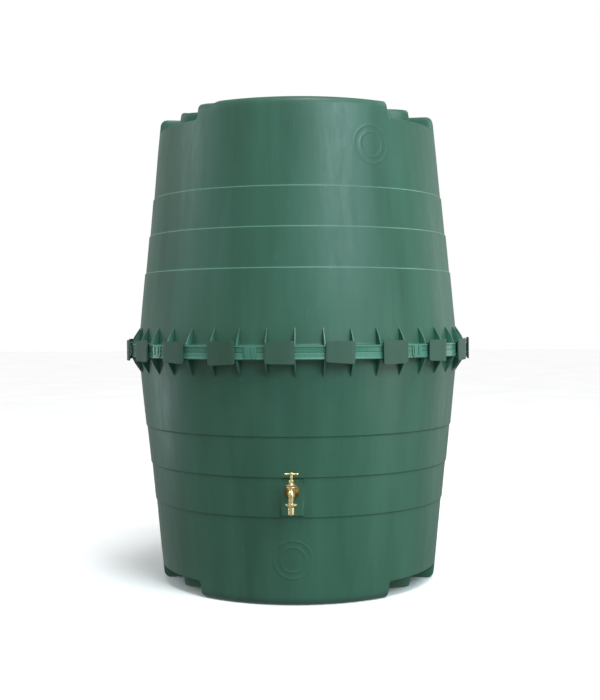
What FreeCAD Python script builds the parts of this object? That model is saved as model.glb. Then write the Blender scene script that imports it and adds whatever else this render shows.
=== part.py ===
import FreeCAD, Part
import os

import Sketcher
from FreeCAD import Placement, Rotation, Vector

# Two-shell garden rainwater tank with clipped flange, lift-off lid and brass bib tap.
# Millimetres.  Origin at the bottom centre, +Z up, the tap looks towards -Y.
# Azimuths are degrees about +Z, measured from the tap's direction (-Y).

DOC = FreeCAD.newDocument("RainTank")

# --------------------------------------------------------------------------
# Driving dimensions
# --------------------------------------------------------------------------
SIZES = {
    # shells: heights are distances from the seam plane, the same up and down
    "seam_height": 800, "crown_rise": 800, "deck_rise": 745,
    "seam_radius": 560, "wall_taper": 0.095, "ring_step": 3, "wall": 6,
    "ring_low": 260, "ring_mid": 388, "ring_high": 515,
    "flange_radius": 587, "flange_depth": 22, "flange_lip": 4,
    "seal_radius": 571, "seal_width": 7, "seal_height": 7,
    "gusset_rise": 76, "gusset_reach": 583, "gusset_thickness": 4,
    "gusset_count": 40, "gusset_start": 1.4, "gusset_bite": 3,
    "tab_radius": 591, "tab_span": 4.1, "tab_rise": 20, "tab_drop": 16, "tab_gap": 0.5,
    "tab_pair_centre": 59.9, "tab_pair_offset": 18,
    # hollow feet below the base and the same crown blocks above the top deck
    "block_inner": 330, "pocket_radius": 420, "front_half": 41, "ring_half": 62.5,
    "side_half": 10.8, "flank_inset": 0.8,
    "block_round": 24, "cavity_chamfer": 18, "block_ease": 8,
    # filler neck and lid
    "neck_radius": 205, "neck_rise": 772, "gasket_height": 4,
    "lid_radius": 232, "lid_plate": 5, "lid_skirt": 5, "lid_skirt_drop": 22,
    "lid_crown": 4, "lid_grip_span": 150, "lid_grip_width": 26, "lid_grip_height": 13,
    "lid_hollow_radius": 90, "lid_scallops": 18, "lid_scallop_radius": 9,
    "lid_edge": 3, "lid_slope": 20,
    # tap seat on the front of the lower shell
    "tap_drop": 431, "seat_reach": 512.5, "seat_width": 71, "seat_top": 392, "seat_end": 510,
    "seat_depth": 8.5, "boss_radius": 29, "boss_depth": 16.5, "tap_hole": 13.7,
    "tool_margin": 30, "overlap": 1,
    # clips
    "clip_count": 20, "clip_start": -3.1, "clip_radius": 600, "clip_web": 4.5,
    "clip_half_height": 36, "clip_half_span": 4.45, "clip_arm_span": 4.1,
    "clip_arm": 4, "clip_arm_reach": 570, "clip_play": 0.3, "clip_corner": 4,
    # tap: axis of the valve stands this far in front of its seat
    "valve_reach": 46, "washer_thick": 3, "rosette_radius": 22, "rosette_thick": 4,
    "rosette_bevel": 5, "rosette_edge": 2.5, "collar_length": 6, "collar_flare": 2,
    "thread_radius": 13.2, "inlet_radius": 11, "inlet_bore": 5, "inlet_bore_drop": 3.5,
    "backnut_flats": 34, "backnut_height": 9, "thread_spare": 4, "washer_radius": 20,
    "chamber_radius": 10, "seat_level": 3, "seat_hole": 5.5, "seat_hole_floor": -9,
    "body_bottom": -15, "body_foot_radius": 11, "body_top": 21, "body_top_radius": 14.5,
    "rim_height": 4, "rim_radius": 16.5, "plug_radius": 12, "plug_level": 14.5, "plug_play": 0.5,
    "spout_radius": 8, "spout_bore": 5.5, "spout_level": 9, "spout_bend": 14, "spout_run": 8,
    "spout_end": -33.5, "spout_thread_top": -28.5,
    # tap headwork
    "bonnet_washer": 1, "bonnet_flats": 28, "bonnet_hex_top": 26.5, "bonnet_cone_top": 32,
    "bonnet_cone_foot": 13.5, "bonnet_neck_radius": 6.9, "bonnet_neck_top": 38,
    "guide_radius": 6, "guide_top": 28.5, "stem_radius": 4, "stem_play": 0.05,
    "packing_top": 33, "gland_flats": 15, "gland_foot": 32.2, "gland_top": 41, "gland_cap": 2.5,
    "gland_edge": 0.5, "gland_slope": 4.5,
    "screw_radius": 5.95, "screw_foot": 9, "screw_top": 21,
    "square_radius": 2.6, "square_foot": 55,
    "jumper_radius": 8.5, "jumper_level": 6, "jumper_disc": 2, "jumper_stem": 3,
    "jumper_stem_top": 18, "jumper_socket": 3.05, "jumper_socket_top": 20, "stud_radius": 2,
    "stud_foot": 0.2, "valve_washer_radius": 8, "lock_nut_radius": 3.6, "lock_nut_foot": 0.7,
    "lock_nut_height": 2.2,
    # tap handle
    "handle_level": 59, "hub_radius": 5.2, "hub_top": 62.6, "bar_radius": 3.3, "bar_length": 44,
    "cap_screw_radius": 3.4, "cap_screw_height": 2,
    # hose union
    "nut_top": -28, "nut_radius": 19.5, "nut_band": 4.5, "nut_foot_radius": 12.6,
    "nut_foot": -39.6, "nut_bore": 13.3, "nut_lip": 10.4, "nut_seat": -37.3,
    "hose_washer_radius": 12.8, "hose_washer_bore": 7, "hose_washer_foot": -35,
    "tail_collar_foot": -37.2, "tail_radius": 10, "tail_bore": 7, "tail_end": -63,
    "tail_collar_radius": 12.8, "tail_neck": -40, "tail_neck_radius": 9.6,
    "tail_lead": 0.8, "tail_lead_rise": 2,
}
SHEET = DOC.addObject("Spreadsheet::Sheet", "Sizes")
for row, (alias, number) in enumerate(SIZES.items(), start=1):
    SHEET.set(f"A{row}", str(number))
    SHEET.setAlias(f"A{row}", alias)
DOC.recompute()

PARTS = []


def sized(expression):
    """Spell out the sheet's name in front of every alias of an expression."""
    words = []
    word = ""
    for letter in expression + " ":
        if letter.isalnum() or letter == "_":
            word += letter
            continue
        words.append("Sizes." + word if word in SIZES else word)
        words.append(letter)
        word = ""
    return "".join(words).strip()


def bind(thing, **expressions):
    """Bind properties; a double underscore stands for the dot of a sub-property."""
    for name, expression in expressions.items():
        thing.setExpression(name.replace("__", "."), sized(str(expression)))
    return thing


def keep(thing, label):
    """Label an object as one sub-part of the tank."""
    thing.Label = label
    PARTS.append(thing)
    return thing


# --------------------------------------------------------------------------
# PartDesign helpers
# --------------------------------------------------------------------------
def new_body(label):
    return keep(DOC.addObject("PartDesign::Body", label), label)


def origin_feature(body, role):
    return next(item for item in body.Origin.OriginFeatures if item.Role == role)


def fill_polygon(sketch, corners):
    """Draw a closed polygon and hold each corner by a pair of expressions."""
    count = len(corners)
    for index in range(count):
        start = Vector(index + 1, index * index, 0)
        following = (index + 1) % count
        end = Vector(following + 1, following * following, 0)
        sketch.addGeometry(Part.LineSegment(start, end), False)
    joins = [Sketcher.Constraint("Coincident", i, 2, (i + 1) % count, 1) for i in range(count)]
    sketch.addConstraint(joins)
    for index, (across, along) in enumerate(corners):
        for kind, expression in (("DistanceX", across), ("DistanceY", along)):
            number = sketch.addConstraint(Sketcher.Constraint(kind, -1, 1, index, 1, 1.0))
            sketch.setExpression(f"Constraints[{number}]", sized(str(expression)))


def polygon(body, name, corners, plane="XZ_Plane", turn=None, lift=None):
    """Closed sketch whose corners are pairs of expressions, turned about or lifted along its plane."""
    sketch = body.newObject("Sketcher::SketchObject", name)
    sketch.AttachmentSupport = [(origin_feature(body, plane), "")]
    sketch.MapMode = "FlatFace"
    if turn is not None:
        sketch.AttachmentOffset = Placement(Vector(), Rotation(Vector(0, 1, 0), 1))
        bind(sketch, AttachmentOffset__Rotation__Angle=turn)
    if lift is not None:
        bind(sketch, AttachmentOffset__Base__z=lift)
    fill_polygon(sketch, corners)
    return sketch


def revolved(body, name, corners, kind="Revolution", turn=None, angle="360"):
    """Solid (or groove) turned about the body's Z axis, centred on its sketch plane."""
    sketch = polygon(body, name + "_profile", corners, turn=turn)
    DOC.recompute()
    feature = body.newObject("PartDesign::" + kind, name)
    feature.Profile = sketch
    feature.ReferenceAxis = (sketch, ["V_Axis"])
    feature.Midplane = True
    bind(feature, Angle=angle)
    return feature


def turned_part(label, corners, **place):
    """Sub-part made by one full turn of a profile."""
    body = new_body(label)
    revolved(body, label + "_turning", corners)
    return bind(body, **place)


def hexagon(flats):
    """Corners of a hexagon with flats facing +Y and -Y."""
    circle = f"({flats}) / 2 / cos(30)"
    return [(f"{circle} * cos({60 * i})", f"{circle} * sin({60 * i})") for i in range(6)]


def hexagonal_pad(body, name, flats, foot, height):
    sketch = polygon(body, name + "_outline", hexagon(flats), plane="XY_Plane", lift=foot)
    pad = body.newObject("PartDesign::Pad", name)
    pad.Profile = sketch
    bind(pad, Length=height)
    return pad


def block(body, name, kind, x_low, y_low, z_low, x_size, y_size, z_size):
    """Box added to or taken from a body."""
    box = body.newObject(f"PartDesign::{kind}Box", name)
    return bind(box, Placement__Base__x=x_low, Placement__Base__y=y_low,
                Placement__Base__z=z_low, Length=x_size, Width=y_size, Height=z_size)


def solid(kind, name, turn=None, **sizes):
    """Part primitive with its sizes and place bound."""
    thing = DOC.addObject("Part::" + kind, name)
    if turn is not None:
        thing.Placement = Placement(Vector(), turn)
    return bind(thing, **sizes)


# --------------------------------------------------------------------------
# Shells: one boolean tree each, so the outlines are free sketches in the XZ plane
# --------------------------------------------------------------------------
def free_outline(name, corners):
    """Closed sketch in the XZ plane that belongs to no body."""
    sketch = DOC.addObject("Sketcher::SketchObject", name)
    sketch.Placement = Placement(Vector(), Rotation(Vector(1, 0, 0), 90))
    fill_polygon(sketch, corners)
    return sketch


def aim(thing, azimuth):
    """Swing a piece that was drawn along +X to an azimuth."""
    thing.Placement = Placement(Vector(), Rotation(Vector(0, 0, 1), 1))
    return bind(thing, Placement__Rotation__Angle=f"{azimuth} - 90")


def sector(name, corners, azimuth, span):
    """Profile turned about Z over a span of degrees centred on an azimuth."""
    piece = DOC.addObject("Part::Revolution", name)
    piece.Source = free_outline(name + "_outline", corners)
    piece.Axis = Vector(0, 0, 1)
    piece.Solid = True
    piece.Symmetric = True
    bind(piece, Angle=span)
    return aim(piece, azimuth)


def joined(name, pieces):
    fusion = DOC.addObject("Part::MultiFuse", name)
    fusion.Shapes = pieces
    fusion.Refine = False
    return fusion


def difference(name, base, tool):
    cut = DOC.addObject("Part::Cut", name)
    cut.Base = base
    cut.Tool = tool
    cut.Refine = False
    return cut


def wall_at(rise, rings=3):
    """Outer radius of a shell at a distance from the seam, after passing some ring ledges."""
    return f"seam_radius - wall_taper * ({rise}) - {rings} * ring_step"


def levelled(corners, side):
    """Turn distances from the seam into heights, down for the lower shell and up for the upper."""
    return [(radius, f"seam_height {side} ({rise})") for radius, rise in corners]


def shell_corners(top):
    """Section through a shell's wall, flange and deck; top is None for the closed base."""
    outer = [("flange_radius", "0"), ("flange_radius", "flange_depth - flange_lip"),
             ("flange_radius - flange_lip / 2", "flange_depth"),
             (wall_at("flange_depth", 0), "flange_depth")]
    inner = [(f"{wall_at('0', 0)} - wall", "0")]
    for passed, ring in enumerate(("ring_low", "ring_mid", "ring_high")):
        for rings in (passed, passed + 1):
            outer.append((wall_at(ring, rings), ring))
            inner.append((f"{wall_at(ring, rings)} - wall", ring))
    outer.append((wall_at("deck_rise"), "deck_rise"))
    inner.append((f"{wall_at('deck_rise')} - wall", "deck_rise - wall"))
    if top is None:
        middle = [("0", "deck_rise"), ("0", "deck_rise - wall")]
    else:
        middle = [("neck_radius + wall", "deck_rise"), ("neck_radius + wall", "neck_rise"),
                  ("neck_radius", "neck_rise"), ("neck_radius", "deck_rise - wall")]
    groove_inner = "seal_radius - seal_width / 2"
    groove_outer = "seal_radius + seal_width / 2"
    groove = [(groove_inner, "0"), (groove_inner, "seal_height / 2"),
              (groove_outer, "seal_height / 2"), (groove_outer, "0")]
    return outer + middle + inner[::-1] + groove


def gussets(side):
    """Triangular plates that stiffen the flange, one every nine degrees."""
    root = "flange_depth - gusset_bite"
    corners = [(f"{wall_at('gusset_rise', 0)} - wall / 2", "gusset_rise"),
               (wall_at("gusset_rise", 0), "gusset_rise"),
               ("gusset_reach", "flange_depth"), ("gusset_reach", root),
               (f"{wall_at('flange_depth', 0)} - wall / 2", root)]
    outline = free_outline("gusset_outline", levelled(corners, side))
    plates = []
    for number in range(int(SIZES["gusset_count"])):
        plate = DOC.addObject("Part::Extrusion", f"gusset_{number}")
        plate.Base = outline
        plate.DirMode = "Normal"
        plate.Solid = True
        plate.Symmetric = True
        bind(plate, LengthFwd="gusset_thickness")
        plates.append(aim(plate, f"gusset_start + {number} * 360 / gusset_count"))
    return plates


def block_plan():
    """Azimuth, half span, inner radius and outer radius of every hollow end block."""
    plan = []
    for face in (0, 180):
        plan.append((f"{face}", "ring_half", "block_inner", "pocket_radius"))
        plan.append((f"{face}", "front_half", "pocket_radius", "flush"))
        plan.append((f"{face} + 90", "side_half", "block_inner", "flush"))
    return plan


def block_section(inner, outer):
    """Section of a foot or crown block whose rims are eased."""
    root = inner if inner == "block_inner" else f"{inner} - wall / 2"
    foot = "deck_rise - wall / 2"
    if outer == "pocket_radius":
        return [(root, foot), (outer, foot), (outer, "crown_rise - block_ease"),
                (f"{outer} - block_ease", "crown_rise"), (f"{root} + block_ease", "crown_rise"),
                (root, "crown_rise - block_ease")]
    end = wall_at("crown_rise")
    shoulder = f"{wall_at('deck_rise')} - 2 * wall"
    return [(root, foot), (shoulder, foot), (shoulder, "deck_rise"),
            (wall_at("deck_rise"), "deck_rise"),
            (wall_at("crown_rise - block_round"), "crown_rise - block_round"),
            (f"{end} - 0.3 * block_round", "crown_rise - 0.3 * block_round"),
            (f"{end} - block_round", "crown_rise"), (root, "crown_rise")]


def hollow_section(inner, outer):
    """Section of the cavity inside a block, open to the inside of the tank."""
    mouth = "deck_rise - wall - overlap"
    floor = "crown_rise - wall"
    root = "block_inner + wall" if inner == "block_inner" else f"{inner} - 2 * wall"
    if outer == "pocket_radius":
        reach = f"{outer} - wall"
        return [(root, mouth), (reach, mouth), (reach, f"{floor} - block_ease"),
                (f"{reach} - block_ease", floor), (f"{root} + block_ease", floor),
                (root, f"{floor} - block_ease")]
    reach = f"{wall_at('crown_rise')} - wall"
    return [(root, mouth), (reach, mouth), (reach, f"{floor} - cavity_chamfer"),
            (f"{reach} - cavity_chamfer", floor), (root, floor)]


def end_blocks(side):
    """Blocks and cavities of one shell's closed end."""
    blocks = []
    hollows = []
    for number, (azimuth, half_span, inner, outer) in enumerate(block_plan()):
        blocks.append(sector(f"block_{number}", levelled(block_section(inner, outer), side),
                             azimuth, f"2 * {half_span}"))
        hollows.append(sector(f"hollow_{number}", levelled(hollow_section(inner, outer), side),
                              azimuth, f"2 * ({half_span} - flank_inset)"))
    return blocks, hollows


def make_lower_shell():
    """Lower shell: closed base on hollow feet, and a flat seat for the tap."""
    towards_wall = Rotation(Vector(1, 0, 0), -90)
    wall = sector("lower_wall", levelled(shell_corners(None), "-"), "0", "360")
    blocks, hollows = end_blocks("-")
    seat = {"Length": "seat_width", "Height": "seat_end - seat_top",
            "Placement__Base__x": "-seat_width / 2", "Placement__Base__z": "seam_height - seat_end"}
    bore = "seam_height - tap_drop"
    pad = solid("Box", "tap_seat", Width="seat_depth", Placement__Base__y="-seat_reach", **seat)
    boss = solid("Cylinder", "tap_boss", towards_wall, Radius="boss_radius", Height="boss_depth",
                 Placement__Base__y="-seat_reach", Placement__Base__z=bore)
    facing = solid("Box", "seat_facing", Width="tool_margin",
                   Placement__Base__y="-seat_reach - tool_margin", **seat)
    hole = solid("Cylinder", "tap_hole", towards_wall, Radius="tap_hole", Height="2 * tool_margin",
                 Placement__Base__y="-seat_reach - tool_margin", Placement__Base__z=bore)
    outside = joined("lower_outside", [wall] + gussets("-") + blocks + [pad, boss])
    inside = joined("lower_inside", hollows + [facing, hole])
    keep(difference("lower_shell", outside, inside), "lower_shell")


def centring_tabs():
    """Tongues that hang from the upper flange over the lower one, in pairs each quarter turn."""
    inside = "flange_radius - flange_lip"
    outside = "flange_radius + tab_gap"
    top = "seam_height + tab_rise - flange_lip"
    foot = "seam_height - tab_drop"
    corners = [(inside, "seam_height"), (outside, "seam_height"), (outside, foot),
               ("tab_radius", foot), ("tab_radius", top), (inside, top)]
    tabs = []
    for quarter in range(4):
        for hand in ("-", "+"):
            azimuth = f"tab_pair_centre + {90 * quarter} {hand} tab_pair_offset"
            tabs.append(sector("centring_tab", corners, azimuth, "tab_span"))
    return tabs


def make_upper_shell():
    """Upper shell: the same wall upside down, with a filler neck in its deck."""
    wall = sector("upper_wall", levelled(shell_corners("neck"), "+"), "0", "360")
    blocks, hollows = end_blocks("+")
    outside = joined("upper_outside", [wall] + gussets("+") + blocks + centring_tabs())
    inside = joined("upper_inside", hollows)
    keep(difference("upper_shell", outside, inside), "upper_shell")


def make_seal():
    low = "seam_height - seal_height / 2"
    high = "seam_height + seal_height / 2"
    inner = "seal_radius - seal_width / 2"
    outer = "seal_radius + seal_width / 2"
    turned_part("flange_seal", [(inner, low), (outer, low), (outer, high), (inner, high)])


# --------------------------------------------------------------------------
# Clips round the seam
# --------------------------------------------------------------------------
def round_web(body):
    """Round the four outer corners of a clip's face."""
    names = []
    half_height = SIZES["clip_half_height"]
    for number, edge in enumerate(body.Shape.Edges, start=1):
        box = edge.BoundBox
        flat = box.ZLength < 0.01 and abs(abs(box.Center.z) - half_height) < 0.01
        if flat and edge.Length < SIZES["clip_web"] + 0.1:
            names.append(f"Edge{number}")
    web = body.Tip
    fillet = body.newObject("PartDesign::Fillet", "corner_fillet")
    fillet.Base = (web, names)
    bind(fillet, Radius="clip_corner")


def make_clip(number):
    """Channel that slides over both flanges from outside and holds the shells together."""
    body = new_body(f"clip_{number + 1:02d}")
    inside = "clip_radius - clip_web"
    web = [(inside, "-clip_half_height"), ("clip_radius", "-clip_half_height"),
           ("clip_radius", "clip_half_height"), (inside, "clip_half_height")]
    revolved(body, "web", web, turn="-90", angle="2 * clip_half_span")
    DOC.recompute()
    round_web(body)
    near = "flange_depth + clip_play"
    far = "flange_depth + clip_play + clip_arm"
    for name, hand in (("upper_arm", ""), ("lower_arm", "-")):
        arm = [("clip_arm_reach", f"{hand}({near})"), (f"{inside} + 1", f"{hand}({near})"),
               (f"{inside} + 1", f"{hand}({far})"), ("clip_arm_reach", f"{hand}({far})")]
        revolved(body, name, arm, turn="-90", angle="2 * clip_arm_span")
    bind(body, Placement__Base__z="seam_height",
         Placement__Rotation__Angle=f"clip_start + {number} * 360 / clip_count")


# --------------------------------------------------------------------------
# Lid
# --------------------------------------------------------------------------
def make_lid():
    """Round cap that rests on the filler neck, with a grip bar across a central hollow."""
    top = "neck_rise + gasket_height + lid_plate"
    under = "neck_rise + gasket_height"
    body = new_body("lid")
    corners = [("0", under), ("lid_radius - lid_skirt", under),
               ("lid_radius - lid_skirt", f"{under} - lid_skirt_drop"),
               ("lid_radius", f"{under} - lid_skirt_drop"), ("lid_radius", f"{top} - lid_edge"),
               ("lid_radius - lid_edge", top), ("lid_hollow_radius + lid_slope", f"{top} + lid_crown"),
               ("lid_hollow_radius", top), ("0", top)]
    corners = [(radius, f"seam_height + {rise}") for radius, rise in corners]
    revolved(body, "cap", corners)
    DOC.recompute()
    block(body, "grip", "Additive", "-lid_grip_span / 2", "-lid_grip_width / 2",
          f"seam_height + {top} - overlap", "lid_grip_span", "lid_grip_width",
          "lid_grip_height + overlap")
    reach = "lid_radius + lid_scallop_radius - lid_skirt / 2"
    for number in range(int(SIZES["lid_scallops"])):
        azimuth = f"{number} * 360 / lid_scallops"
        notch = body.newObject("PartDesign::SubtractiveCylinder", f"scallop_{number}")
        bind(notch, Placement__Base__x=f"({reach}) * cos({azimuth})",
             Placement__Base__y=f"({reach}) * sin({azimuth})",
             Placement__Base__z=f"seam_height + {under} - lid_skirt_drop - overlap",
             Radius="lid_scallop_radius", Height="2 * tool_margin")


def make_lid_gasket():
    low = "seam_height + neck_rise"
    high = "seam_height + neck_rise + gasket_height"
    turned_part("lid_gasket", [("neck_radius", low), ("neck_radius + wall", low),
                               ("neck_radius + wall", high), ("neck_radius", high)])


# --------------------------------------------------------------------------
# Tap: modelled about the valve's axis, the tank's wall lies towards +Y
# --------------------------------------------------------------------------
AT_VALVE = {"Placement__Base__y": "-(seat_reach + valve_reach)",
            "Placement__Base__z": "seam_height - tap_drop"}
AT_SPOUT = {"Placement__Base__y": "-(seat_reach + valve_reach + spout_run + spout_bend)",
            "Placement__Base__z": "seam_height - tap_drop"}


def along_y(label, corners, foot):
    """Turned sub-part about the inlet axis: its profile's heights run towards +Y."""
    body = turned_part(label, corners)
    body.Placement = Placement(Vector(), Rotation(Vector(1, 0, 0), -90))
    return bind(body, Placement__Base__y=foot, Placement__Base__z="seam_height - tap_drop")


def washer_corners(inner, outer, thickness):
    return [(inner, "0"), (outer, "0"), (outer, thickness), (inner, thickness)]


def make_inlet_hardware():
    """Everything stacked along the inlet thread, from outside the wall to inside it."""
    along_y("outer_washer", washer_corners("thread_radius", "washer_radius", "washer_thick"),
            "-seat_reach - washer_thick")
    along_y("rosette",
            [("thread_radius", "0"), ("rosette_radius - rosette_bevel", "0"),
             ("rosette_radius", "rosette_edge"), ("rosette_radius", "rosette_thick"),
             ("thread_radius", "rosette_thick")],
            "-seat_reach - washer_thick - rosette_thick")
    along_y("inner_washer", washer_corners("thread_radius", "washer_radius", "washer_thick"),
            "-seat_reach + boss_depth")
    body = new_body("backnut")
    hexagonal_pad(body, "nut_blank", "backnut_flats", "0", "backnut_height")
    DOC.recompute()
    revolved(body, "nut_thread", [("0", "-overlap"), ("thread_radius", "-overlap"),
                                  ("thread_radius", "backnut_height + overlap"),
                                  ("0", "backnut_height + overlap")], kind="Groove")
    body.Placement = Placement(Vector(), Rotation(Vector(1, 0, 0), -90))
    bind(body, Placement__Base__y="-seat_reach + boss_depth + washer_thick",
         Placement__Base__z="seam_height - tap_drop")


def spout_pieces(name, radius, foot):
    """Forward run, quarter bend and drop of the spout; the same path serves skin and bore."""
    forward = Rotation(Vector(1, 0, 0), 90)
    run = solid("Cylinder", name + "_run", forward, Radius=radius, Height="spout_run",
                Placement__Base__z="spout_level")
    top_to_front = Rotation(Vector(0, 0, -1), Vector(0, -1, 0), Vector(-1, 0, 0), "XYZ")
    bend = solid("Torus", name + "_bend", top_to_front,
                 Radius1="spout_bend", Radius2=radius, Angle3="90",
                 Placement__Base__y="-spout_run", Placement__Base__z="spout_level - spout_bend")
    drop = solid("Cylinder", name + "_drop", Radius=radius,
                 Height=f"spout_level - spout_bend - ({foot})",
                 Placement__Base__y="-spout_run - spout_bend", Placement__Base__z=foot)
    return [run, bend, drop]


def make_tap_body():
    """Cast brass body: inlet thread, valve chamber with its seat, and bent spout."""
    towards_wall = Rotation(Vector(1, 0, 0), -90)
    shoulder = "valve_reach - washer_thick - rosette_thick"
    thread = ("washer_thick + rosette_thick + boss_depth + washer_thick + backnut_height"
              " + thread_spare")
    skin = [
        solid("Cone", "chamber_skin", Radius1="body_foot_radius", Radius2="body_top_radius",
              Height="body_top - body_bottom - rim_height / 2", Placement__Base__z="body_bottom"),
        solid("Cylinder", "rim", Radius="rim_radius", Height="rim_height",
              Placement__Base__z="body_top - rim_height"),
        solid("Cylinder", "inlet_skin", towards_wall, Radius="inlet_radius", Height=shoulder),
        solid("Cone", "inlet_collar", towards_wall, Radius1="inlet_radius",
              Radius2="thread_radius + collar_flare", Height="collar_length",
              Placement__Base__y=f"{shoulder} - collar_length"),
        solid("Cylinder", "inlet_thread", towards_wall, Radius="thread_radius", Height=thread,
              Placement__Base__y=shoulder),
        solid("Cylinder", "spout_thread", Radius="thread_radius",
              Height="spout_thread_top - spout_end",
              Placement__Base__y="-spout_run - spout_bend", Placement__Base__z="spout_end"),
    ]
    skin += spout_pieces("spout", "spout_radius", "spout_end")
    casting = DOC.addObject("Part::MultiFuse", "casting")
    casting.Shapes = skin
    casting.Refine = True
    water = [
        solid("Cylinder", "chamber", Radius="chamber_radius", Height="body_top - seat_level + overlap",
              Placement__Base__z="seat_level"),
        solid("Cylinder", "bonnet_socket", Radius="plug_radius",
              Height="body_top - plug_level + overlap", Placement__Base__z="plug_level"),
        solid("Cylinder", "seat_port", Radius="seat_hole", Height="seat_level - seat_hole_floor",
              Placement__Base__z="seat_hole_floor"),
        solid("Cylinder", "inlet_port", towards_wall, Radius="inlet_bore",
              Height=f"{shoulder} + {thread} + overlap", Placement__Base__z="-inlet_bore_drop"),
    ]
    water += spout_pieces("spout_bore", "spout_bore", "spout_end - overlap")
    waterway = DOC.addObject("Part::MultiFuse", "waterway")
    waterway.Shapes = water
    tap = DOC.addObject("Part::Cut", "tap_body")
    tap.Base = casting
    tap.Tool = waterway
    bind(keep(tap, "tap_body"), **AT_VALVE)


def make_headwork():
    """Bonnet, gland and their seals, screwed into the top of the tap's body."""
    rim = "body_top + bonnet_washer"
    turned_part("bonnet_washer", [("plug_radius", "body_top"), ("rim_radius - overlap", "body_top"),
                                  ("rim_radius - overlap", rim), ("plug_radius", rim)], **AT_VALVE)
    bonnet = new_body("bonnet")
    hexagonal_pad(bonnet, "bonnet_hex", "bonnet_flats", rim, f"bonnet_hex_top - ({rim})")
    DOC.recompute()
    revolved(bonnet, "bonnet_turning", [
        ("0", "plug_level + plug_play"), ("plug_radius", "plug_level + plug_play"),
        ("plug_radius", f"{rim} + overlap"),
        ("bonnet_cone_foot", f"{rim} + overlap"), ("bonnet_cone_foot", "bonnet_hex_top"),
        ("bonnet_neck_radius + 1", "bonnet_cone_top"), ("bonnet_neck_radius", "bonnet_cone_top"),
        ("bonnet_neck_radius", "bonnet_neck_top"), ("0", "bonnet_neck_top")])
    DOC.recompute()
    revolved(bonnet, "bonnet_bore", [("0", "plug_level"), ("guide_radius", "plug_level"),
                                     ("guide_radius", "bonnet_neck_top + overlap"),
                                     ("0", "bonnet_neck_top + overlap")], kind="Groove")
    bind(bonnet, **AT_VALVE)
    turned_part("gland_packing", [
        ("stem_radius + stem_play", "guide_top + plug_play"), ("guide_radius", "guide_top + plug_play"),
        ("guide_radius", "packing_top"), ("stem_radius + stem_play", "packing_top")], **AT_VALVE)
    gland = new_body("gland_nut")
    hexagonal_pad(gland, "gland_hex", "gland_flats", "gland_foot", "gland_top - gland_foot")
    DOC.recompute()
    revolved(gland, "gland_thread", [
        ("0", "gland_foot - overlap"), ("bonnet_neck_radius", "gland_foot - overlap"),
        ("bonnet_neck_radius", "gland_top - gland_cap"),
        ("stem_radius + stem_play", "gland_top - gland_cap"),
        ("stem_radius + stem_play", "gland_top + overlap"), ("0", "gland_top + overlap")], kind="Groove")
    DOC.recompute()
    revolved(gland, "gland_chamfer", [
        ("gland_flats / 2 - gland_edge", "gland_top"), ("gland_flats", "gland_top - gland_slope"),
        ("gland_flats", "gland_top + overlap"),
        ("gland_flats / 2 - gland_edge", "gland_top + overlap")], kind="Groove")
    bind(gland, **AT_VALVE)


def make_valve():
    """Spindle with its handle, and the jumper with its washer that closes on the seat."""
    turned_part("spindle", [
        ("jumper_socket", "screw_foot"), ("screw_radius", "screw_foot"), ("screw_radius", "screw_top"),
        ("stem_radius", "screw_top + overlap"), ("stem_radius", "square_foot"),
        ("square_radius", "square_foot"), ("square_radius", "hub_top"), ("0", "hub_top"),
        ("0", "jumper_socket_top"), ("jumper_socket", "jumper_socket_top")], **AT_VALVE)
    disc_top = "jumper_level + jumper_disc"
    turned_part("jumper_valve", [
        ("0", "stud_foot"), ("stud_radius", "stud_foot"), ("stud_radius", "jumper_level"),
        ("jumper_radius", "jumper_level"), ("jumper_radius", disc_top),
        ("jumper_stem", disc_top), ("jumper_stem", "jumper_stem_top"),
        ("0", "jumper_stem_top")], **AT_VALVE)
    turned_part("valve_washer", [
        ("stud_radius", "seat_level"), ("valve_washer_radius", "seat_level"),
        ("valve_washer_radius", "jumper_level"), ("stud_radius", "jumper_level")], **AT_VALVE)
    turned_part("washer_nut", [
        ("stud_radius", "lock_nut_foot"), ("lock_nut_radius", "lock_nut_foot"),
        ("lock_nut_radius", "lock_nut_foot + lock_nut_height"),
        ("stud_radius", "lock_nut_foot + lock_nut_height")], **AT_VALVE)


def make_handle():
    """Tee handle: hub on the spindle's end with a bar across it, held by a domed screw."""
    hub = solid("Cylinder", "hub", Radius="hub_radius", Height="hub_top - square_foot",
                Placement__Base__z="square_foot")
    bar = solid("Cylinder", "bar", Rotation(Vector(0, 1, 0), 90), Radius="bar_radius",
                Height="bar_length", Placement__Base__x="-bar_length / 2",
                Placement__Base__z="handle_level")
    outline = DOC.addObject("Part::MultiFuse", "handle_blank")
    outline.Shapes = [hub, bar]
    socket = solid("Cylinder", "handle_socket", Radius="square_radius",
                   Height="hub_top - square_foot + 2 * overlap",
                   Placement__Base__z="square_foot - overlap")
    handle = DOC.addObject("Part::Cut", "t_handle")
    handle.Base = outline
    handle.Tool = socket
    bind(keep(handle, "t_handle"), **AT_VALVE)
    turned_part("handle_screw", [
        ("0", "hub_top"), ("cap_screw_radius", "hub_top"),
        ("cap_screw_radius", "hub_top + cap_screw_height / 3"),
        ("cap_screw_radius * 0.6", "hub_top + cap_screw_height"),
        ("0", "hub_top + cap_screw_height")], **AT_VALVE)


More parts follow.
